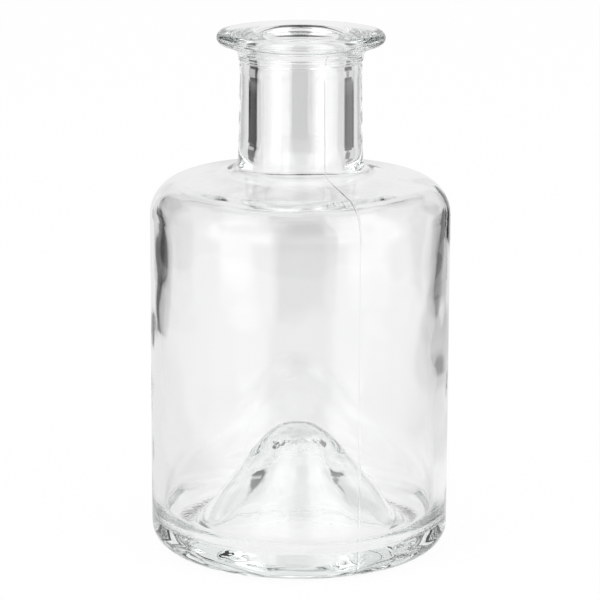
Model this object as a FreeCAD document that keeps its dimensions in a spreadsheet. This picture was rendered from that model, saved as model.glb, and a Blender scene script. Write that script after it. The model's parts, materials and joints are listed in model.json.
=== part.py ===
import FreeCAD, Part
import Sketcher
import math
import os

# Clear glass pharmacy bottle, blown in a two-part mould: a straight round body with a
# pushed-up base, a rounded shoulder, a short thick neck and a broad flat lip.
# It is one piece of glass. Origin: centre of the base ring. +Z is the bottle's axis.
# Lengths are in millimetres and angles in degrees.

SIZES = {
    # the outside
    "overall_height": 115.1,
    "body_radius": 33.0,
    "side_height": 74.8,
    "heel_round": 5.0,
    "shoulder_round": 8.1,
    "shoulder_slope": 10.6,
    "root_round": 2.5,
    "neck_radius": 13.25,
    "neck_taper": 1.2,
    # the finish: a faint band, then a small step out to the flare under the broad lip
    "band_drop": 8.9,
    "band_height": 2.4,
    "band_round": 5.6,
    "finish_radius": 13.62,
    "finish_drop": 6.1,
    "flare_round": 2.5,
    "lip_radius": 18.4,
    "lip_round": 1.4,
    "lip_slope": 18.0,
    # the inside
    "bore_radius": 9.5,
    "mouth_round": 1.3,
    "wall": 2.6,
    "inner_root_round": 9.0,
    "inner_heel_round": 6.0,
    "base_thickness": 5.0,
    "trough_round": 3.5,
    "punt_height": 27.2,
    "punt_dome_round": 11.0,
    # the hollow under the base
    "punt_thickness": 4.3,
    "hollow_flat_radius": 1.5,
    "hollow_round": 4.0,
    "hollow_draft": 12.0,
    "hollow_flare_round": 12.0,
    "hollow_foot_slope": 42.0,
    "bearing_inner_radius": 23.5,
    # the seams that the mould's two halves leave
    "seam_azimuth": 112.6,
    "seam_width": 0.3,
    "seam_height": 0.12,
    "seam_start": 1.5,
}

START, END, CENTRE = range(1, 4)
ACROSS_AXIS, UP_AXIS = range(-1, -3, -1)
ORIGIN = (ACROSS_AXIS, START)


def polar(centre, radius, degrees):
    """The point at that radius and angle from a centre."""
    angle = math.radians(degrees)
    return (centre[0] + radius * math.cos(angle), centre[1] + radius * math.sin(angle))


def along(point, degrees):
    """How far a point lies out from the origin in that direction."""
    angle = math.radians(degrees)
    return point[0] * math.cos(angle) + point[1] * math.sin(angle)


def meet(first, first_reach, second, second_reach):
    """The point that lies so far out in each of two directions."""
    a, b = math.radians(first), math.radians(second)
    turn = math.sin(b - a)
    across = (first_reach * math.sin(b) - second_reach * math.sin(a)) / turn
    up = (second_reach * math.cos(a) - first_reach * math.cos(b)) / turn
    return (across, up)


class Section:
    """A closed half section: radius across, height up, with its edges drawn end to end.
    Each edge is drawn where the sizes put it, and constraints tie it to the sheet."""

    def __init__(self, body, name):
        plane = next(f for f in body.Origin.OriginFeatures if f.Role == "XZ_Plane")
        self.sketch = body.newObject("Sketcher::SketchObject", name)
        self.sketch.AttachmentSupport = [(plane, "")]
        self.sketch.MapMode = "FlatFace"

    def turn_about_axis(self, expression):
        upright = FreeCAD.Rotation(FreeCAD.Vector(0, 1, 0), 1.0)
        self.sketch.AttachmentOffset = FreeCAD.Placement(FreeCAD.Vector(), upright)
        self.sketch.setExpression(".AttachmentOffset.Rotation.Angle", expression)

    def line(self, start, end):
        edge = Part.LineSegment(FreeCAD.Vector(*start, 0), FreeCAD.Vector(*end, 0))
        return self.sketch.addGeometry(edge, False)

    def arc(self, centre, radius, first, last):
        """An arc that runs anticlockwise from the angle first to the angle last."""
        circle = Part.Circle(FreeCAD.Vector(*centre, 0), FreeCAD.Vector(0, 0, 1), radius)
        edge = Part.ArcOfCircle(circle, math.radians(first), math.radians(last))
        return self.sketch.addGeometry(edge, False)

    def hold(self, kind, *where):
        return self.sketch.addConstraint(Sketcher.Constraint(kind, *where))

    def corner(self, *ends):
        self.hold("Coincident", *ends)

    def smooth(self, *ends):
        self.hold("Tangent", *ends)

    def on_axis(self, edge, point):
        self.hold("PointOnObject", edge, point, UP_AXIS)

    def tie(self, index, expression):
        self.sketch.setExpression(f"Constraints[{index}]", expression)

    def across(self, edge, point, expression):
        now = self.sketch.getPoint(edge, point).x
        self.tie(self.hold("DistanceX", *ORIGIN, edge, point, now), expression)

    def up(self, edge, point, expression):
        now = self.sketch.getPoint(edge, point).y
        self.tie(self.hold("DistanceY", *ORIGIN, edge, point, now), expression)

    def radius(self, edge, expression):
        now = self.sketch.Geometry[edge].Radius
        self.tie(self.hold("Radius", edge, now), expression)

    def heading(self, edge, degrees, expression):
        """The direction of a line from its start to its end."""
        index = self.hold("Angle", edge, math.radians(degrees))
        self.tie(index, f"({expression}) * 1 deg")


def shoulder_places(size):
    """Centre of the shoulder's arc, foot of the raised band, and centre of the fillet
    between the sloping shoulder and the tapered neck."""
    shoulder = (size["body_radius"] - size["shoulder_round"], size["side_height"])
    band_foot = (size["neck_radius"], size["overall_height"] - size["band_drop"])
    lean = 90 - size["shoulder_slope"]
    taper = size["neck_taper"]
    root = meet(
        lean, along(shoulder, lean) + size["shoulder_round"] + size["root_round"],
        taper, along(band_foot, taper) + size["root_round"],
    )
    return shoulder, band_foot, root


def draw_outside(body, size):
    """The whole outside: base, heel, side, shoulder, neck, band and lip."""
    shoulder, band_foot, root = shoulder_places(size)
    radius, top = size["body_radius"], size["overall_height"]
    slope, taper, under = size["shoulder_slope"], size["neck_taper"], size["lip_slope"]
    heel = (radius - size["heel_round"], size["heel_round"])
    half_band = size["band_height"] / 2
    band_angle = math.degrees(math.asin(half_band / size["band_round"]))
    band_depth = size["band_round"] * math.cos(math.radians(band_angle))
    band = (band_foot[0] - band_depth, band_foot[1] + half_band)
    lip = (size["lip_radius"] - size["lip_round"], top - size["lip_round"])
    flare_reach = along(lip, under - 90) + size["lip_round"] + size["flare_round"]
    step = (size["finish_radius"], top - size["finish_drop"])
    flare = meet(0, step[0] + size["flare_round"], under - 90, flare_reach)

    draw = Section(body, "outside_section")
    base = draw.line((0, 0), (heel[0], 0))
    heel_arc = draw.arc(heel, size["heel_round"], 270, 360)
    side = draw.line((radius, heel[1]), (radius, shoulder[1]))
    shoulder_arc = draw.arc(shoulder, size["shoulder_round"], 0, 90 - slope)
    cone = draw.line(
        polar(shoulder, size["shoulder_round"], 90 - slope),
        polar(root, size["root_round"], 270 - slope),
    )
    root_arc = draw.arc(root, size["root_round"], 180 + taper, 270 - slope)
    neck = draw.line(polar(root, size["root_round"], 180 + taper), band_foot)
    band_arc = draw.arc(band, size["band_round"], -band_angle, band_angle)
    ledge = draw.line((band_foot[0], band_foot[1] + size["band_height"]), step)
    collar = draw.line(step, (step[0], flare[1]))
    flare_arc = draw.arc(flare, size["flare_round"], 90 + under, 180)
    underside = draw.line(
        polar(flare, size["flare_round"], 90 + under),
        polar(lip, size["lip_round"], under - 90),
    )
    lip_arc = draw.arc(lip, size["lip_round"], under - 90, 90)
    lip_top = draw.line((lip[0], top), (0, top))
    axis = draw.line((0, top), (0, 0))

    draw.corner(base, START, *ORIGIN)
    draw.smooth(base, END, heel_arc, START)
    draw.smooth(heel_arc, END, side, START)
    draw.smooth(side, END, shoulder_arc, START)
    draw.smooth(shoulder_arc, END, cone, START)
    draw.smooth(cone, END, root_arc, END)
    draw.smooth(root_arc, START, neck, START)
    draw.corner(neck, END, band_arc, START)
    draw.corner(band_arc, END, ledge, START)
    draw.corner(ledge, END, collar, START)
    draw.smooth(collar, END, flare_arc, END)
    draw.smooth(flare_arc, START, underside, START)
    draw.smooth(underside, END, lip_arc, START)
    draw.smooth(lip_arc, END, lip_top, START)
    draw.corner(lip_top, END, axis, START)
    draw.corner(axis, END, base, START)
    draw.on_axis(axis, START)
    draw.hold("Horizontal", base)
    draw.hold("Vertical", side)
    draw.hold("Vertical", band_arc, START, band_arc, END)
    draw.hold("Vertical", collar)
    draw.hold("Horizontal", lip_top)

    draw.radius(heel_arc, "sizes.heel_round")
    draw.across(side, START, "sizes.body_radius")
    draw.radius(shoulder_arc, "sizes.shoulder_round")
    draw.up(side, END, "sizes.side_height")
    draw.heading(cone, 180 - slope, "180 - sizes.shoulder_slope")
    draw.radius(root_arc, "sizes.root_round")
    draw.heading(neck, 90 + taper, "90 + sizes.neck_taper")
    draw.across(neck, END, "sizes.neck_radius")
    draw.up(neck, END, "sizes.overall_height - sizes.band_drop")
    draw.up(ledge, START, "sizes.overall_height - sizes.band_drop + sizes.band_height")
    draw.across(ledge, END, "sizes.finish_radius")
    draw.up(ledge, END, "sizes.overall_height - sizes.finish_drop")
    draw.radius(band_arc, "sizes.band_round")
    draw.radius(flare_arc, "sizes.flare_round")
    draw.heading(underside, under, "sizes.lip_slope")
    draw.radius(lip_arc, "sizes.lip_round")
    draw.across(lip_arc, CENTRE, "sizes.lip_radius - sizes.lip_round")
    draw.up(lip_top, START, "sizes.overall_height")
    return draw.sketch


def draw_seam(body, size):
    """The outside again from heel to band, larger by the height of a seam ridge, on the
    plane where the mould's halves meet."""
    shoulder, band_foot, root = shoulder_places(size)
    proud = size["seam_height"]
    slope, taper = size["shoulder_slope"], size["neck_taper"]
    heel = (size["body_radius"] - size["heel_round"], size["heel_round"])
    heel_arc_radius = size["heel_round"] + proud
    shoulder_arc_radius = size["shoulder_round"] + proud
    root_arc_radius = size["root_round"] - proud
    ridge_radius = size["body_radius"] + proud
    ridge_foot = math.degrees(math.asin((size["seam_start"] - heel[1]) / heel_arc_radius))
    foot = polar(heel, heel_arc_radius, ridge_foot)
    ridge_top = (band_foot[0] + proud, band_foot[1])

    draw = Section(body, "seam_section")
    draw.turn_about_axis("sizes.seam_azimuth * 1 deg")
    bottom = draw.line((0, size["seam_start"]), foot)
    heel_arc = draw.arc(heel, heel_arc_radius, ridge_foot, 0)
    side = draw.line((ridge_radius, heel[1]), (ridge_radius, shoulder[1]))
    shoulder_arc = draw.arc(shoulder, shoulder_arc_radius, 0, 90 - slope)
    cone = draw.line(
        polar(shoulder, shoulder_arc_radius, 90 - slope),
        polar(root, root_arc_radius, 270 - slope),
    )
    root_arc = draw.arc(root, root_arc_radius, 180 + taper, 270 - slope)
    neck = draw.line(polar(root, root_arc_radius, 180 + taper), ridge_top)
    top = draw.line(ridge_top, (0, ridge_top[1]))
    axis = draw.line((0, ridge_top[1]), (0, size["seam_start"]))

    draw.corner(bottom, END, heel_arc, START)
    draw.smooth(heel_arc, END, side, START)
    draw.smooth(side, END, shoulder_arc, START)
    draw.smooth(shoulder_arc, END, cone, START)
    draw.smooth(cone, END, root_arc, END)
    draw.smooth(root_arc, START, neck, START)
    draw.corner(neck, END, top, START)
    draw.corner(top, END, axis, START)
    draw.corner(axis, END, bottom, START)
    draw.on_axis(axis, START)
    draw.on_axis(axis, END)
    draw.hold("Horizontal", bottom)
    draw.hold("Vertical", side)
    draw.hold("Horizontal", top)

    draw.up(bottom, START, "sizes.seam_start")
    draw.radius(heel_arc, "sizes.heel_round + sizes.seam_height")
    draw.across(heel_arc, CENTRE, "sizes.body_radius - sizes.heel_round")
    draw.up(heel_arc, CENTRE, "sizes.heel_round")
    draw.radius(shoulder_arc, "sizes.shoulder_round + sizes.seam_height")
    draw.up(side, END, "sizes.side_height")
    draw.heading(cone, 180 - slope, "180 - sizes.shoulder_slope")
    draw.radius(root_arc, "sizes.root_round - sizes.seam_height")
    draw.heading(neck, 90 + taper, "90 + sizes.neck_taper")
    draw.across(neck, END, "sizes.neck_radius + sizes.seam_height")
    draw.up(neck, END, "sizes.overall_height - sizes.band_drop")
    return draw.sketch


def draw_inside(body, size):
    """The inside: mouth, bore, shoulder, wall and the pushed-up floor."""
    shoulder = shoulder_places(size)[0]
    top, bore, wall = size["overall_height"], size["bore_radius"], size["wall"]
    slope = size["shoulder_slope"]
    lean = 90 - slope
    mouth = (bore + size["mouth_round"], top - size["mouth_round"])
    shoulder_arc_radius = size["shoulder_round"] - wall
    root_round = size["inner_root_round"]
    root_reach = along(shoulder, lean) + shoulder_arc_radius + root_round
    root = meet(0, bore + root_round, lean, root_reach)
    inner_radius = size["body_radius"] - wall
    heel_round, trough_round = size["inner_heel_round"], size["trough_round"]
    trough_radius = inner_radius - heel_round
    heel = (trough_radius, size["base_thickness"] + heel_round)
    trough = (trough_radius, size["base_thickness"] + trough_round)
    dome_round = size["punt_dome_round"]
    dome = (0, size["punt_height"] - dome_round)
    fall = math.atan2(dome[1] - trough[1], trough[0])
    gap = math.hypot(dome[1] - trough[1], trough[0])
    flank_slope = math.degrees(fall + math.asin((dome_round + trough_round) / gap))

    draw = Section(body, "inside_section")
    axis = draw.line((0, size["punt_height"]), (0, top))
    opening = draw.line((0, top), (mouth[0], top))
    mouth_arc = draw.arc(mouth, size["mouth_round"], 90, 180)
    bore_wall = draw.line((bore, mouth[1]), (bore, root[1]))
    root_arc = draw.arc(root, root_round, 180, 270 - slope)
    cone = draw.line(
        polar(root, root_round, 270 - slope),
        polar(shoulder, shoulder_arc_radius, lean),
    )
    shoulder_arc = draw.arc(shoulder, shoulder_arc_radius, 0, lean)
    side = draw.line((inner_radius, shoulder[1]), (inner_radius, heel[1]))
    heel_arc = draw.arc(heel, heel_round, 270, 360)
    trough_arc = draw.arc(trough, trough_round, 270 - flank_slope, 270)
    flank = draw.line(
        polar(trough, trough_round, 270 - flank_slope),
        polar(dome, dome_round, 90 - flank_slope),
    )
    dome_arc = draw.arc(dome, dome_round, 90 - flank_slope, 90)

    draw.corner(axis, END, opening, START)
    draw.smooth(opening, END, mouth_arc, START)
    draw.smooth(mouth_arc, END, bore_wall, START)
    draw.smooth(bore_wall, END, root_arc, START)
    draw.smooth(root_arc, END, cone, START)
    draw.smooth(cone, END, shoulder_arc, END)
    draw.smooth(shoulder_arc, START, side, START)
    draw.smooth(side, END, heel_arc, END)
    draw.smooth(heel_arc, START, trough_arc, END)
    draw.smooth(trough_arc, START, flank, START)
    draw.smooth(flank, END, dome_arc, START)
    draw.corner(dome_arc, END, axis, START)
    draw.on_axis(axis, START)
    draw.on_axis(axis, END)
    draw.on_axis(dome_arc, CENTRE)
    draw.hold("Horizontal", opening)
    draw.hold("Vertical", bore_wall)
    draw.hold("Vertical", side)
    draw.hold("Vertical", heel_arc, START, heel_arc, CENTRE)

    draw.up(axis, END, "sizes.overall_height")
    draw.radius(mouth_arc, "sizes.mouth_round")
    draw.across(bore_wall, START, "sizes.bore_radius")
    draw.radius(root_arc, "sizes.inner_root_round")
    draw.heading(cone, -slope, "-sizes.shoulder_slope")
    draw.radius(shoulder_arc, "sizes.shoulder_round - sizes.wall")
    draw.up(side, START, "sizes.side_height")
    draw.across(side, START, "sizes.body_radius - sizes.wall")
    draw.radius(heel_arc, "sizes.inner_heel_round")
    draw.up(heel_arc, START, "sizes.base_thickness")
    draw.radius(trough_arc, "sizes.trough_round")
    draw.radius(dome_arc, "sizes.punt_dome_round")
    draw.up(dome_arc, END, "sizes.punt_height")
    return draw.sketch


def draw_hollow(body, size):
    """The hollow under the base: a round-topped bell on a cone down to the bearing ring."""
    top = size["punt_height"] - size["punt_thickness"]
    corner_round, flare_round = size["hollow_round"], size["hollow_flare_round"]
    draft, foot_slope = size["hollow_draft"], size["hollow_foot_slope"]
    corner = (size["hollow_flat_radius"], top - corner_round)
    rim = (size["bearing_inner_radius"], 0)
    flare = meet(
        draft, along(corner, draft) + corner_round + flare_round,
        90 - foot_slope, along(rim, 90 - foot_slope) + flare_round,
    )

    draw = Section(body, "hollow_section")
    crown = draw.line((0, top), (corner[0], top))
    corner_arc = draw.arc(corner, corner_round, draft, 90)
    flank = draw.line(
        polar(corner, corner_round, draft), polar(flare, flare_round, 180 + draft)
    )
    flare_arc = draw.arc(flare, flare_round, 180 + draft, 270 - foot_slope)
    foot = draw.line(polar(flare, flare_round, 270 - foot_slope), rim)
    base = draw.line(rim, (0, 0))
    axis = draw.line((0, 0), (0, top))

    draw.smooth(crown, END, corner_arc, END)
    draw.smooth(corner_arc, START, flank, START)
    draw.smooth(flank, END, flare_arc, START)
    draw.smooth(flare_arc, END, foot, START)
    draw.corner(foot, END, base, START)
    draw.corner(base, END, axis, START)
    draw.corner(axis, START, *ORIGIN)
    draw.corner(axis, END, crown, START)
    draw.on_axis(axis, END)
    draw.hold("Horizontal", crown)
    draw.hold("Horizontal", base)

    draw.up(crown, START, "sizes.punt_height - sizes.punt_thickness")
    draw.across(corner_arc, CENTRE, "sizes.hollow_flat_radius")
    draw.radius(corner_arc, "sizes.hollow_round")
    draw.heading(flank, draft - 90, "sizes.hollow_draft - 90")
    draw.radius(flare_arc, "sizes.hollow_flare_round")
    draw.heading(foot, -foot_slope, "-sizes.hollow_foot_slope")
    draw.across(foot, END, "sizes.bearing_inner_radius")
    return draw.sketch


def spin(body, kind, name, sketch):
    """A full turn of a section about the bottle's axis."""
    feature = body.newObject(kind, name)
    feature.Profile = sketch
    feature.ReferenceAxis = (sketch, ["V_Axis"])
    feature.Angle = 360
    return feature


def build_bottle(document, size):
    body = document.addObject("PartDesign::Body", "glass_bottle")
    body.Label = "glass_bottle"
    spin(body, "PartDesign::Revolution", "blank", draw_outside(body, size))
    seam_sketch = draw_seam(body, size)
    ridge = body.newObject("PartDesign::Pad", "seam_ridge")
    ridge.Profile = seam_sketch
    ridge.SideType = "Symmetric"
    ridge.setExpression("Length", "sizes.seam_width")
    document.recompute()
    pair = body.newObject("PartDesign::PolarPattern", "seam_pair")
    pair.Originals = [ridge]
    pair.Axis = (seam_sketch, ["V_Axis"])
    pair.Angle = 360
    pair.Occurrences = 2
    body.Tip = pair
    document.recompute()
    spin(body, "PartDesign::Groove", "inside", draw_inside(body, size))
    document.recompute()
    spin(body, "PartDesign::Groove", "base_hollow", draw_hollow(body, size))
    document.recompute()
    return body


def check(document, parts):
    for item in document.Objects:
        if "Invalid" in item.State or "Error" in item.State:
            raise RuntimeError(f"{item.Name} did not build: {item.State}")
    for part in parts:
        if part.Shape.isNull() or not part.Shape.isValid():
            raise RuntimeError(f"{part.Label} has no valid shape")


document = FreeCAD.newDocument("pharmacy_bottle")
sheet = document.addObject("Spreadsheet::Sheet", "sizes")
for row, (name, value) in enumerate(SIZES.items(), start=1):
    sheet.set(f"A{row}", name)
    sheet.set(f"B{row}", str(value))
    sheet.setAlias(f"B{row}", name)
document.recompute()

bottle = build_bottle(document, SIZES)
check(document, [bottle])
os.makedirs("parts", exist_ok=True)
bottle.Shape.exportStep(f"parts/{bottle.Label}.step")
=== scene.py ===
import json
import math
import bpy
import mathutils
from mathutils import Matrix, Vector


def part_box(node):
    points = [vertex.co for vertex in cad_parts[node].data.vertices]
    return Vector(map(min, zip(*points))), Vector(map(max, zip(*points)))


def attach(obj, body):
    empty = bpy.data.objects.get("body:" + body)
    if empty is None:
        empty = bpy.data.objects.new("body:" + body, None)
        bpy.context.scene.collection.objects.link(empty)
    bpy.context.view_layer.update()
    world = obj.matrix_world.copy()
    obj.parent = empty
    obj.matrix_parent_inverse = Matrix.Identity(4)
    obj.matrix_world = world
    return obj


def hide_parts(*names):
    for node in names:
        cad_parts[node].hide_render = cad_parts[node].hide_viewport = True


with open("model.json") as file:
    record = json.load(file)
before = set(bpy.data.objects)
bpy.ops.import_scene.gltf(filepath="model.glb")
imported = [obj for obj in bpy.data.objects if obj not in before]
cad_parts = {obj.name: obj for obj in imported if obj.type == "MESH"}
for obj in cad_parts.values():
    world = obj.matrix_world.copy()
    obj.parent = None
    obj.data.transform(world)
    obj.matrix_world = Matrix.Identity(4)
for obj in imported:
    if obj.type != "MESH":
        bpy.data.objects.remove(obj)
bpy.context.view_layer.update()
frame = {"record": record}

# The camera stands about 0.64 m in front of the bottle, a little above its lip, and looks
# down at the middle of the body. It hangs a quarter of a degree out of level.
camera_distance = 0.6429
camera_height = 0.2062
camera_pitch = math.radians(13.22)
camera_roll = math.radians(0.23)
camera_data = bpy.data.cameras.new("camera")
camera_data.lens = 179.1
camera_data.sensor_width = 36.0
camera = bpy.data.objects.new("camera", camera_data)
bpy.context.collection.objects.link(camera)
camera.location = (0.0, -camera_distance, camera_height)
looking = mathutils.Matrix.Rotation(math.pi / 2 - camera_pitch, 3, "X")
camera.rotation_euler = (looking @ mathutils.Matrix.Rotation(camera_roll, 3, "Z")).to_euler()
bpy.context.scene.camera = camera

# The bottle is one piece of clear glass, blown in a mould of two halves. Its half section is
# drawn as one line, from the top of the punt along the inside, over the lip, down the outside
# and up the hollow under the base. The line is then spun round the axis into a closed shell.
bottle_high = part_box("glass_bottle")[1]
mounts = {mount["name"]: mount for mount in frame["record"]["mounts"]}
top = bottle_high[2]
body_radius = bottle_high[0]
bore_radius = mounts["mouth"]["dims"]["r_mm"] / 1000
wall = 0.0026
side_top = 0.0748
heel_round = 0.005
shoulder_round = 0.0081
shoulder_slope = 10.6
root_round = 0.0025
neck_radius = 0.01325
neck_taper = 1.2
band_drop, band_height, band_round = 0.0089, 0.0024, 0.0056
finish_radius, finish_drop = 0.01362, 0.0061
flare_round = 0.0025
lip_radius, lip_round, lip_slope = 0.0184, 0.0014, 18.0
mouth_round = 0.0013
inner_root_round = 0.009
inner_heel_round = 0.006
base_thickness = 0.005
trough_round = 0.0035
punt_top, dome_round = 0.0272, 0.011
hollow_top, hollow_flat, hollow_round = 0.0229, 0.0015, 0.004
hollow_draft, hollow_flare, hollow_foot = 12.0, 0.012, 42.0
bearing_radius = 0.0235
row_height = 0.002
arc_step = 0.00075
fewest_arc_steps = 6
spokes = 288


def polar(centre, radius, degrees):
    angle = math.radians(degrees)
    return (centre[0] + radius * math.cos(angle), centre[1] + radius * math.sin(angle))


def along(point, degrees):
    """How far a point lies out from the origin in that direction."""
    angle = math.radians(degrees)
    return point[0] * math.cos(angle) + point[1] * math.sin(angle)


def meet(first, first_reach, second, second_reach):
    """The point that lies so far out in each of two directions."""
    a, b = math.radians(first), math.radians(second)
    across = (first_reach * math.sin(b) - second_reach * math.sin(a)) / math.sin(b - a)
    up = (second_reach * math.cos(a) - first_reach * math.cos(b)) / math.sin(b - a)
    return (across, up)


def start_line(name, place):
    """One vertex, from a primitive merged to its middle, ready to be drawn out."""
    bpy.ops.object.select_all(action="DESELECT")
    bpy.ops.mesh.primitive_plane_add(size=0.001, location=place)
    piece = bpy.context.object
    piece.name = name
    bpy.ops.object.transform_apply(location=True, rotation=True, scale=True)
    bpy.ops.object.mode_set(mode="EDIT")
    bpy.ops.mesh.select_all(action="SELECT")
    bpy.ops.mesh.merge(type="CENTER")
    return piece


def enter_region(name):
    """What is drawn from here on belongs to this vertex group, until the next call."""
    bpy.ops.object.vertex_group_remove_from(use_all_groups=True)
    if name:
        bottle.vertex_groups.new(name=name)
        bpy.ops.object.vertex_group_assign()


def draw_to(point):
    """Draws the outline on in a straight line. pen holds the points it has come to."""
    last = pen[-1]
    move = (point[0] - last[0], 0, point[1] - last[1])
    bpy.ops.mesh.extrude_vertices_move(TRANSFORM_OT_translate={"value": move})
    pen.append(point)


def draw_round(centre, degrees):
    """Carries the end of the outline round a centre, anticlockwise in the section."""
    last = pen[-1]
    radius = math.hypot(last[0] - centre[0], last[1] - centre[1])
    sweep = math.radians(degrees)
    steps = max(fewest_arc_steps, math.ceil(radius * abs(sweep) / arc_step))
    bpy.ops.mesh.spin(
        steps=steps, angle=sweep, center=(centre[0], 0, centre[1]), axis=(0, 1, 0)
    )
    start = math.degrees(math.atan2(last[1] - centre[1], last[0] - centre[0]))
    pen.append(polar(centre, radius, start + degrees))


inner_radius = body_radius - wall
trough_radius = inner_radius - inner_heel_round
trough = (trough_radius, base_thickness + trough_round)
inner_heel = (trough_radius, base_thickness + inner_heel_round)
dome = (0.0, punt_top - dome_round)
centre_gap = math.hypot(dome[1] - trough[1], trough[0])
centre_fall = math.atan2(dome[1] - trough[1], trough[0])
flank_slope = math.degrees(centre_fall + math.asin((dome_round + trough_round) / centre_gap))
lean = 90 - shoulder_slope
shoulder = (body_radius - shoulder_round, side_top)
inner_reach = along(shoulder, lean) + shoulder_round - wall + inner_root_round
inner_root = meet(0, bore_radius + inner_root_round, lean, inner_reach)
mouth = (bore_radius + mouth_round, top - mouth_round)
lip = (lip_radius - lip_round, top - lip_round)
flare_reach = along(lip, lip_slope - 90) + lip_round + flare_round
flare = meet(0, finish_radius + flare_round, lip_slope - 90, flare_reach)
finish_foot = (finish_radius, top - finish_drop)
band_foot = (neck_radius, top - band_drop)
band_top = (neck_radius, band_foot[1] + band_height)
band_angle = math.degrees(math.asin(band_height / 2 / band_round))
band_inset = band_round * math.cos(math.radians(band_angle))
band = (neck_radius - band_inset, band_foot[1] + band_height / 2)
root = meet(
    lean, along(shoulder, lean) + shoulder_round + root_round,
    neck_taper, along(band_foot, neck_taper) + root_round,
)
heel = (body_radius - heel_round, heel_round)
standing_edge = (bearing_radius, 0.0)
crown = (hollow_flat, hollow_top - hollow_round)
foot_lean = 90 - hollow_foot
bell = meet(
    hollow_draft, along(crown, hollow_draft) + hollow_round + hollow_flare,
    foot_lean, along(standing_edge, foot_lean) + hollow_flare,
)

pen = [(0.0, punt_top)]
bottle = start_line("bottle", (0.0, 0, punt_top))
enter_region("inner")
draw_round(dome, -flank_slope)
draw_to(polar(trough, trough_round, 270 - flank_slope))
draw_round(trough, flank_slope)
draw_round(inner_heel, 90)
draw_to((inner_radius, side_top))
draw_round(shoulder, lean)
draw_to(polar(inner_root, inner_root_round, 270 - shoulder_slope))
draw_round(inner_root, -lean)
enter_region(None)
draw_to((bore_radius, mouth[1]))
draw_round(mouth, -90)
draw_to((lip[0], top))
draw_round(lip, lip_slope - 180)
draw_to(polar(flare, flare_round, 90 + lip_slope))
draw_round(flare, 90 - lip_slope)
draw_to(finish_foot)
draw_to(band_top)
draw_round(band, -2 * band_angle)
draw_to(polar(root, root_round, 180 + neck_taper))
draw_round(root, lean - neck_taper)
draw_to(polar(shoulder, shoulder_round, lean))
draw_round(shoulder, -lean)
draw_to((body_radius, heel_round))
draw_round(heel, -90)
draw_to(standing_edge)
draw_to(polar(bell, hollow_flare, 270 - hollow_foot))
enter_region("hollow")
draw_round(bell, hollow_draft + hollow_foot - 90)
draw_to(polar(crown, hollow_round, hollow_draft))
draw_round(crown, 90 - hollow_draft)
draw_to((0.0, hollow_top))
bpy.ops.object.mode_set(mode="OBJECT")

# Where two straight runs of the outside meet, the hot glass didn't fill the mould's sharp
# corner. Each such corner of the outline is rounded by its own small reach.
soft_corners = {
    finish_foot: 0.00012, band_top: 0.00012, band_foot: 0.0003, standing_edge: 0.0006,
}
corner_segments = 3
same_place = 0.00001


def clear_selection(mesh):
    for elements in (mesh.vertices, mesh.edges, mesh.polygons):
        elements.foreach_set("select", [False] * len(elements))


for corner, reach in soft_corners.items():
    clear_selection(bottle.data)
    for vertex in bottle.data.vertices:
        gap = math.hypot(vertex.co.x - corner[0], vertex.co.z - corner[1])
        vertex.select = gap < same_place
    bpy.ops.object.mode_set(mode="EDIT")
    bpy.ops.mesh.select_mode(type="VERT")
    bpy.ops.mesh.bevel(
        offset=reach, segments=corner_segments, profile=0.5, affect="VERTICES"
    )
    bpy.ops.object.mode_set(mode="OBJECT")

# Long straight runs are halved until they have rows about as tall as the waves in the glass
# need. Then the outline is spun, and the two poles on the axis are closed.
most_halvings = 7
weld_reach = 0.000002
bpy.context.tool_settings.mesh_select_mode = (False, True, False)
for halving in range(most_halvings):
    mesh = bottle.data
    clear_selection(mesh)
    for edge in mesh.edges:
        a, b = (mesh.vertices[i].co for i in edge.vertices)
        edge.select = (a - b).length > row_height
    if not any(edge.select for edge in mesh.edges):
        break
    bpy.ops.object.mode_set(mode="EDIT")
    bpy.ops.mesh.subdivide(number_cuts=1)
    bpy.ops.object.mode_set(mode="OBJECT")

bpy.ops.object.mode_set(mode="EDIT")
bpy.ops.mesh.select_mode(type="VERT")
bpy.ops.mesh.select_all(action="SELECT")
bpy.ops.mesh.spin(steps=spokes, angle=2 * math.pi, center=(0, 0, 0), axis=(0, 0, 1))
bpy.ops.mesh.select_all(action="SELECT")
bpy.ops.mesh.remove_doubles(threshold=weld_reach)
bpy.ops.mesh.normals_make_consistent(inside=False)
bpy.ops.object.mode_set(mode="OBJECT")
bpy.ops.object.shade_smooth()

# The two halves of the mould leave a fine ridge down each side of the outside, strongest on
# the shoulder. The outside is cut along both feet of the ridge and its crest, and the crest
# is raised. A run of it has its lower and upper end, and how far it stands proud.
seam_turn = math.radians(22.6)
seam_across = mathutils.Vector((math.cos(seam_turn), math.sin(seam_turn), 0))
seam_reach = 0.00015
seam_search = 0.0012
outer_skin = bore_radius + 0.002
finest_cut = 0.000001
seam_runs = [
    (0.0015, 0.074, 0.00004),
    (0.074, 0.0925, 0.00016),
    (0.0925, top - band_drop, 0.00005),
    (top - 0.0056, top - 0.0035, 0.0001),
]
for cut in (-1, 1, 0):
    mesh = bottle.data
    clear_selection(mesh)
    for face in mesh.polygons:
        in_run = any(low < face.center.z < high for low, high, proud in seam_runs)
        moulded = not any(mesh.vertices[i].groups for i in face.vertices)
        outside = math.hypot(face.center.x, face.center.y) > outer_skin
        near_seam = abs(face.center.dot(seam_across)) < seam_search
        face.select = in_run and moulded and outside and near_seam
    bpy.context.tool_settings.mesh_select_mode = (False, False, True)
    bpy.ops.object.mode_set(mode="EDIT")
    bpy.ops.mesh.bisect(
        plane_co=seam_across * cut * seam_reach, plane_no=seam_across, threshold=finest_cut
    )
    bpy.ops.object.mode_set(mode="OBJECT")
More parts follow.
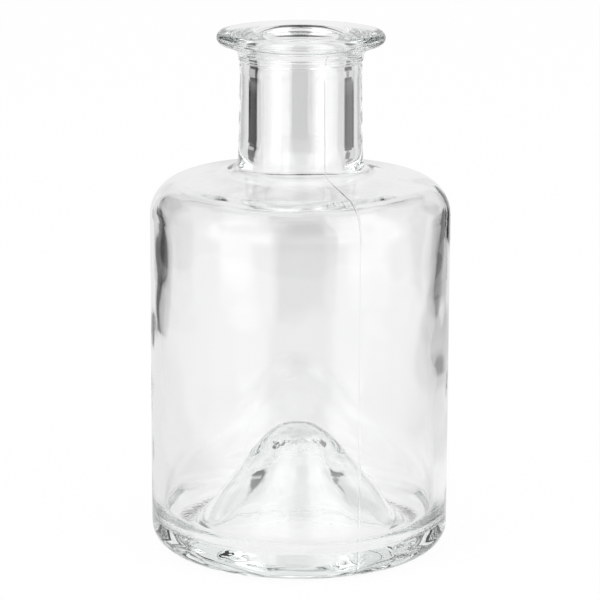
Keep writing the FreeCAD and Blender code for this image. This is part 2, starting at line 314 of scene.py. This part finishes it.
for low, high, proud in seam_runs:
    clear_selection(bottle.data)
    for vertex in bottle.data.vertices:
        on_crest = abs(vertex.co.dot(seam_across)) < weld_reach
        moulded = not vertex.groups
        outside = math.hypot(vertex.co.x, vertex.co.y) > outer_skin
        vertex.select = on_crest and moulded and outside and low < vertex.co.z < high
    bpy.context.tool_settings.mesh_select_mode = (True, False, False)
    bpy.ops.object.mode_set(mode="EDIT")
    bpy.ops.transform.shrink_fatten(value=proud)
    bpy.ops.object.mode_set(mode="OBJECT")

# The inside was blown free and never touched the mould, so it is a little wavy. The plunger
# that pushed the base up left its hollow uneven too. Each has the waves' size and height.
waves = {"inner": (0.013, 0.0004), "hollow": (0.006, 0.0003)}
for region, (size, depth) in waves.items():
    texture = bpy.data.textures.new(region + "_waves", "CLOUDS")
    texture.noise_scale = size
    texture.noise_depth = 1
    displace = bottle.modifiers.new(region + "_waves", "DISPLACE")
    displace.texture = texture
    displace.texture_coords = "LOCAL"
    displace.vertex_group = region
    displace.mid_level = 0.5
    displace.strength = depth
    bpy.ops.object.modifier_apply(modifier=displace.name)

# The glass is clear, and faintly green where it is thick. It has a soft ripple below the
# finish, and stipple and light scuffs on the ring that it stands on and at the hollow's top.
# Each pair below gives the places where such a mark is nil and where it is full.
stipple_scale = 1100.0
scuff_scale = 160.0
ripple_scale = 90.0
ripple_share = 0.35
ripple_heights = (top - finish_drop, 0.1)
ring_heights = (0.0009, 0.0003)
ring_reaches = (0.0225, 0.0238)
crown_reaches = (0.0062, 0.0042)
crown_heights_below = (0.0185, 0.0215)
crown_heights_above = (0.0243, 0.0236)
crown_wear = 0.5
scuff_edges = (0.45, 0.7)
scuff_roughness = 0.3


def math_node(tree, operation, first, second=0.0):
    """Each of the two is a number or another node's output."""
    node = tree.nodes.new("ShaderNodeMath")
    node.operation = operation
    for socket, value in zip(node.inputs, (first, second)):
        if isinstance(value, (int, float)):
            socket.default_value = value
        else:
            tree.links.new(value, socket)
    return node.outputs[0]


def ramp(tree, value, ends):
    """0 up to the first end and 1 from the second one on, with a smooth change between."""
    node = tree.nodes.new("ShaderNodeMapRange")
    node.interpolation_type = "SMOOTHSTEP"
    tree.links.new(value, node.inputs["Value"])
    node.inputs["From Min"].default_value, node.inputs["From Max"].default_value = ends
    return node.outputs["Result"]


glass_surface = bpy.data.node_groups.new("glass_surface", "ShaderNodeTree")
for name, direction, value in [
    ("Ripple Scale", "INPUT", ripple_scale), ("Stipple Scale", "INPUT", stipple_scale),
    ("Scuff Scale", "INPUT", scuff_scale), ("Height", "OUTPUT", 0.0),
    ("Roughness", "OUTPUT", 0.0),
]:
    socket = glass_surface.interface.new_socket(
        name=name, in_out=direction, socket_type="NodeSocketFloat"
    )
    socket.default_value = value
nodes, links = glass_surface.nodes, glass_surface.links
entry = nodes.new("NodeGroupInput")
result = nodes.new("NodeGroupOutput")
where = nodes.new("ShaderNodeTexCoord")
parts = nodes.new("ShaderNodeSeparateXYZ")
links.new(where.outputs["Object"], parts.inputs["Vector"])
up = parts.outputs["Z"]
squares = [math_node(glass_surface, "POWER", parts.outputs[axis], 2.0) for axis in "XY"]
out = math_node(glass_surface, "SQRT", math_node(glass_surface, "ADD", *squares))

ripple = nodes.new("ShaderNodeTexNoise")
ripple.inputs["Detail"].default_value = 0.0
stipple = nodes.new("ShaderNodeTexVoronoi")
stipple.feature = "F1"
scuffs = nodes.new("ShaderNodeTexNoise")
scuffs.inputs["Detail"].default_value = 1.0
for pattern, scale in [
    (ripple, "Ripple Scale"), (stipple, "Stipple Scale"), (scuffs, "Scuff Scale"),
]:
    links.new(where.outputs["Object"], pattern.inputs["Vector"])
    links.new(entry.outputs[scale], pattern.inputs["Scale"])

bearing_ring = math_node(
    glass_surface, "MULTIPLY",
    ramp(glass_surface, up, ring_heights), ramp(glass_surface, out, ring_reaches),
)
crown_end = math_node(
    glass_surface, "MULTIPLY",
    ramp(glass_surface, up, crown_heights_below), ramp(glass_surface, out, crown_reaches),
)
crown_end = math_node(
    glass_surface, "MULTIPLY", crown_end, ramp(glass_surface, up, crown_heights_above)
)
stippled = math_node(glass_surface, "MAXIMUM", bearing_ring, crown_end)
dots = math_node(glass_surface, "MULTIPLY", stipple.outputs["Distance"], stippled)
soft_ripple = math_node(
    glass_surface, "MULTIPLY",
    math_node(glass_surface, "MULTIPLY", ripple.outputs["Fac"], ripple_share),
    ramp(glass_surface, up, ripple_heights),
)
height = math_node(glass_surface, "ADD", soft_ripple, dots)
links.new(height, result.inputs["Height"])
worn = math_node(
    glass_surface, "MAXIMUM",
    bearing_ring, math_node(glass_surface, "MULTIPLY", crown_end, crown_wear),
)
scuffed = math_node(
    glass_surface, "MULTIPLY",
    ramp(glass_surface, scuffs.outputs["Fac"], scuff_edges),
    math_node(glass_surface, "MULTIPLY", worn, scuff_roughness),
)
links.new(scuffed, result.inputs["Roughness"])

glass = bpy.data.materials.new("clear_glass")
glass.use_nodes = True
nodes, links = glass.node_tree.nodes, glass.node_tree.links
shader = nodes["Principled BSDF"]
shader.inputs["Base Color"].default_value = (0.99, 0.993, 0.992, 1.0)
shader.inputs["Transmission Weight"].default_value = 1.0
shader.inputs["IOR"].default_value = 1.52
surface = nodes.new("ShaderNodeGroup")
surface.node_tree = glass_surface
surface.inputs["Ripple Scale"].default_value = ripple_scale
surface.inputs["Stipple Scale"].default_value = stipple_scale
surface.inputs["Scuff Scale"].default_value = scuff_scale
relief = nodes.new("ShaderNodeBump")
relief.inputs["Strength"].default_value = 1.0
relief.inputs["Distance"].default_value = 0.0001
links.new(surface.outputs["Height"], relief.inputs["Height"])
links.new(relief.outputs["Normal"], shader.inputs["Normal"])
links.new(surface.outputs["Roughness"], shader.inputs["Roughness"])
absorption = nodes.new("ShaderNodeVolumeAbsorption")
absorption.inputs["Color"].default_value = (0.72, 0.84, 0.81, 1.0)
absorption.inputs["Density"].default_value = 4.0
links.new(absorption.outputs["Volume"], nodes["Material Output"].inputs["Volume"])
bottle.data.materials.append(glass)
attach(bottle, "root")
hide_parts("glass_bottle")

# A plain white table, covered in matt paper, that the bottle stands on. The photograph
# washes it out to white, and the glass shows it a little greyer. A trace of the bottle's
# shadow is left on it.
table_size = 6.0
table_drop = 0.0001
glow_in_glass = 0.9
glow_share = 0.95


def seen_at_all(tree, rays):
    """1 for a ray from the camera, or from glass or metal, and 0 for any other light."""
    seen = math_node(tree, "MAXIMUM", rays["Is Camera Ray"], rays["Is Glossy Ray"])
    return math_node(tree, "MAXIMUM", seen, rays["Is Transmission Ray"])


bpy.ops.object.select_all(action="DESELECT")
bpy.ops.mesh.primitive_plane_add(size=table_size, location=(0, 0, -table_drop))
table = bpy.context.object
table.name = "table"
paper = bpy.data.materials.new("table_paper")
paper.use_nodes = True
nodes, links = paper.node_tree.nodes, paper.node_tree.links
nodes["Principled BSDF"].inputs["Base Color"].default_value = (0.95, 0.95, 0.95, 1.0)
nodes["Principled BSDF"].inputs["Roughness"].default_value = 0.9
rays = nodes.new("ShaderNodeLightPath").outputs
seen = seen_at_all(paper.node_tree, rays)
brightness = nodes.new("ShaderNodeMapRange")
brightness.inputs["To Min"].default_value = glow_in_glass
brightness.inputs["To Max"].default_value = 1.0
links.new(rays["Is Camera Ray"], brightness.inputs["Value"])
glow = nodes.new("ShaderNodeEmission")
links.new(brightness.outputs["Result"], glow.inputs["Strength"])
mix = nodes.new("ShaderNodeMixShader")
links.new(math_node(paper.node_tree, "MULTIPLY", seen, glow_share), mix.inputs["Fac"])
links.new(nodes["Principled BSDF"].outputs["BSDF"], mix.inputs[1])
links.new(glow.outputs["Emission"], mix.inputs[2])
links.new(mix.outputs["Shader"], nodes["Material Output"].inputs["Surface"])
table.data.materials.append(paper)

# The backdrop far behind the bottle is plain white where the camera or the glass sees it,
# and lights the table and the bottle a little less than that.
room_light = 0.82
world = bpy.data.worlds.new("studio")
bpy.context.scene.world = world
world.use_nodes = True
nodes, links = world.node_tree.nodes, world.node_tree.links
nodes["Background"].inputs["Color"].default_value = (1.0, 1.0, 1.0, 1.0)
rays = nodes.new("ShaderNodeLightPath").outputs
level = nodes.new("ShaderNodeMapRange")
level.inputs["To Min"].default_value = room_light
level.inputs["To Max"].default_value = 1.0
links.new(seen_at_all(world.node_tree, rays), level.inputs["Value"])
links.new(level.outputs["Result"], nodes["Background"].inputs["Strength"])

# The studio round the bottle is a round tent that glows, painted by its panels with light
# and shade: a white backdrop, grey wings and black flags beside it, two large bright panels
# in front, and a dark gap between them where the camera stands. Only the glass sees the tent,
# so its glow is painted reflection and painted background in the glass, and it lights
# nothing.
tent_radius, tent_height = 0.28, 0.5
tent_steps = 180
darkest_through, brightest_through = 0.62, 0.9

# Seen straight through the bottle, the tent's painted glow is never very dark nor brighter
# than white, so that the views from the side and from behind stay clear. Reflections show its
# painted light and shade in full.
tent_painted_light = bpy.data.materials.new("tent_painted_light")
tent_painted_light.use_nodes = True
nodes, links = tent_painted_light.node_tree.nodes, tent_painted_light.node_tree.links
nodes.remove(nodes["Principled BSDF"])
painted = nodes.new("ShaderNodeAttribute")
painted.attribute_name = "brightness"
plain = nodes.new("ShaderNodeClamp")
plain.inputs["Min"].default_value = darkest_through
plain.inputs["Max"].default_value = brightest_through
links.new(painted.outputs["Fac"], plain.inputs["Value"])
mirrored = nodes.new("ShaderNodeLightPath").outputs["Glossy Depth"]
strength = nodes.new("ShaderNodeMapRange")
links.new(
    math_node(tent_painted_light.node_tree, "GREATER_THAN", mirrored, 0.5), strength.inputs["Value"]
)
links.new(plain.outputs["Result"], strength.inputs["To Min"])
links.new(painted.outputs["Fac"], strength.inputs["To Max"])
lit = nodes.new("ShaderNodeEmission")
links.new(strength.outputs["Result"], lit.inputs["Strength"])
links.new(lit.outputs["Emission"], nodes["Material Output"].inputs["Surface"])


def soft_step(value, edge, feather):
    """0 well below the edge and 1 well above it, with a smooth change over the feather."""
    share = min(1.0, max(0.0, (value - edge) / feather + 0.5))
    return share * share * (3 - 2 * share)


def tent_piece(name, first, last, rows, base, panels):
    """A sheet of the tent, spun from one line of points in the plane of the axis, that glows
    with painted light and shade. Each panel is painted over the ones before it: two bearings
    in degrees, clockwise from straight behind the bottle, two places along the line, a
    brightness next to white, and how wide its soft edges are in degrees and in metres."""
    piece = start_line(name, (0, first[0], first[1]))
    step = (0, (last[0] - first[0]) / rows, (last[1] - first[1]) / rows)
    for row in range(rows):
        bpy.ops.mesh.extrude_vertices_move(TRANSFORM_OT_translate={"value": step})
    bpy.ops.mesh.select_all(action="SELECT")
    bpy.ops.mesh.spin(
        steps=tent_steps, angle=2 * math.pi, center=(0, 0, 0), axis=(0, 0, 1)
    )
    bpy.ops.mesh.select_all(action="SELECT")
    bpy.ops.mesh.remove_doubles(threshold=0.00001)
    bpy.ops.object.mode_set(mode="OBJECT")
    paint = piece.data.attributes.new("brightness", "FLOAT", "POINT")
    for vertex, value in zip(piece.data.vertices, paint.data):
        bearing = math.degrees(math.atan2(vertex.co.x, vertex.co.y)) % 360
        place = vertex.co.z if abs(step[2]) > 0 else math.hypot(vertex.co.x, vertex.co.y)
        value.value = base
        for start, end, low, high, brightness, turn, fade in panels:
            middle, half = (start + end) / 2, (end - start) / 2
            gap = abs((bearing - middle + 180) % 360 - 180)
            share = soft_step(-gap, -half, turn)
            share *= soft_step(place, low, fade) * soft_step(-place, -high, fade)
            value.value += share * (brightness - value.value)
    piece.data.materials.append(tent_painted_light)
    piece.visible_camera = False
    piece.visible_diffuse = False
    piece.visible_shadow = False


below, above = -0.1, 1.0
full = (below, above)
tent_piece("tent_wall", (tent_radius, 0.0), (tent_radius, tent_height), 100, 0.87, [
    # Painted shade along the backdrop's foot, the right-hand wing, and the flags that stand
    # before it.
    (-7, 6, 0.012, 0.1, 0.74, 4, 0.02),
    (24, 64, *full, 0.68, 6, 0.02),
    (33, 60, below, 0.02, 0.36, 6, 0.02),
    (38, 72, 0.056, 0.082, 0.14, 4, 0.01),
    (31, 70, below, 0.056, 0.15, 4, 0.006),
    (28, 33, 0.012, 0.054, 0.04, 2, 0.006),
    (50, 60, 0.08, 0.12, 0.35, 4, 0.02),
    # The painted reflections of the two softboxes, as two bright panels in front, and the
    # dimmer strips beside them.
    (66, 92, *full, 0.82, 6, 0.02),
    (92, 102, *full, 1.3, 6, 0.02),
    (101, 154, *full, 2.15, 4, 0.02),
    (200, 252, *full, 2.2, 4, 0.02),
    (252, 263, *full, 1.15, 6, 0.02),
    # Their lower edges, and the dark gap between them, painted as shade where the camera
    # stands.
    (90, 112, below, 0.03, 1.1, 8, 0.03),
    (145, 215, below, 0.03, 0.9, 10, 0.03),
    (240, 263, below, 0.03, 1.0, 8, 0.03),
    (100, 252, below, 0.004, 1.1, 4, 0.03),
    (154, 200, below, 0.12, 0.02, 4, 0.02),
    (163, 191, 0.12, above, 0.03, 4, 0.02),
    # The left-hand wing, and the flags that stand before it and before the right-hand one.
    (263, 291, *full, 0.76, 6, 0.02),
    (291, 326, *full, 0.6, 6, 0.02),
    (290, 302, 0.07, 0.12, 0.03, 3, 0.01),
    (302, 326, 0.07, 0.12, 0.45, 3, 0.01),
    (286, 322, 0.056, 0.075, 0.01, 3, 0.008),
    (295, 329, 0.024, 0.056, 0.01, 3, 0.006),
    (300, 323, below, 0.024, 0.06, 3, 0.006),
    (326, 342, 0.12, above, 0.78, 6, 0.02),
    (293, 325, 0.115, 0.24, 0.1, 3, 0.01),
    (308, 330, 0.23, 0.42, 0.1, 4, 0.02),
    (46, 62, 0.115, 0.23, 0.25, 4, 0.01),
    (27, 46, 0.22, 0.42, 0.3, 5, 0.02),
    (331, 345, below, 0.12, 0.83, 4, 0.02),
])
tent_piece("tent_roof", (0.0, tent_height), (tent_radius, tent_height), 24, 1.25, [
    # The roof glows brighter than white, as painted light from above. A grey card above the
    # backdrop, with a black one along its middle.
    (-45, 45, *full, 0.54, 20, 0.02),
    (-15, 15, *full, 0.05, 8, 0.02),
])
tent_piece("tent_floor", (0.04, 0.0002), (tent_radius, 0.0002), 24, 0.9, [
    # Painted shade from the wings on the right, a painted pool of the panels' light in front
    # with a painted shadow of the camera in it, and painted shade on the left.
    (22, 67, 0.09, above, 0.76, 12, 0.03),
    (22, 67, 0.15, above, 0.62, 12, 0.03),
    (34, 66, 0.215, above, 0.25, 8, 0.03),
    (67, 112, 0.045, 0.09, 0.73, 12, 0.03),
    (112, 248, 0.045, 0.09, 1.6, 12, 0.03),
    (112, 248, 0.09, above, 1.1, 12, 0.03),
    (157, 203, 0.15, above, 0.2, 10, 0.03),
    (248, 292, 0.045, 0.09, 0.72, 12, 0.03),
    (292, 337, 0.045, above, 0.8, 12, 0.03),
    (301, 322, 0.215, above, 0.15, 4, 0.02),
])

# Two large softboxes stand left and right of the camera, aimed at the middle of the body.
# They light the table and what stands on it, and the glass doesn't mirror them, because the
# tent's bright panels already stand for them as painted reflections. The level is next to the
# backdrop's white.
softbox_turn = 47
softbox_level = 2.2
softbox_width, softbox_height = 0.5, 0.8
softbox_distance, softbox_rise = 0.7, 0.35
body_middle = mathutils.Vector((0, 0, 0.05))
for name, bearing in [
    ("left_softbox", 180 + softbox_turn), ("right_softbox", 180 - softbox_turn),
]:
    light = bpy.data.lights.new(name, "AREA")
    light.shape = "RECTANGLE"
    light.size, light.size_y = softbox_width, softbox_height
    light.energy = softbox_level * math.pi * softbox_width * softbox_height
    lamp = bpy.data.objects.new(name, light)
    bpy.context.collection.objects.link(lamp)
    angle = math.radians(bearing)
    lamp.location = (
        softbox_distance * math.sin(angle), softbox_distance * math.cos(angle), softbox_rise
    )
    lamp.rotation_euler = (body_middle - lamp.location).to_track_quat("-Z", "Y").to_euler()
    lamp.visible_camera = False
    lamp.visible_glossy = False
    lamp.visible_transmission = False

# Light goes through many faces of glass before it comes out, so it gets enough bounces.
scene = bpy.context.scene
scene.view_settings.view_transform = "Standard"
scene.cycles.max_bounces = 24
scene.cycles.transmission_bounces = 24
scene.cycles.glossy_bounces = 16
scene.cycles.transparent_max_bounces = 16
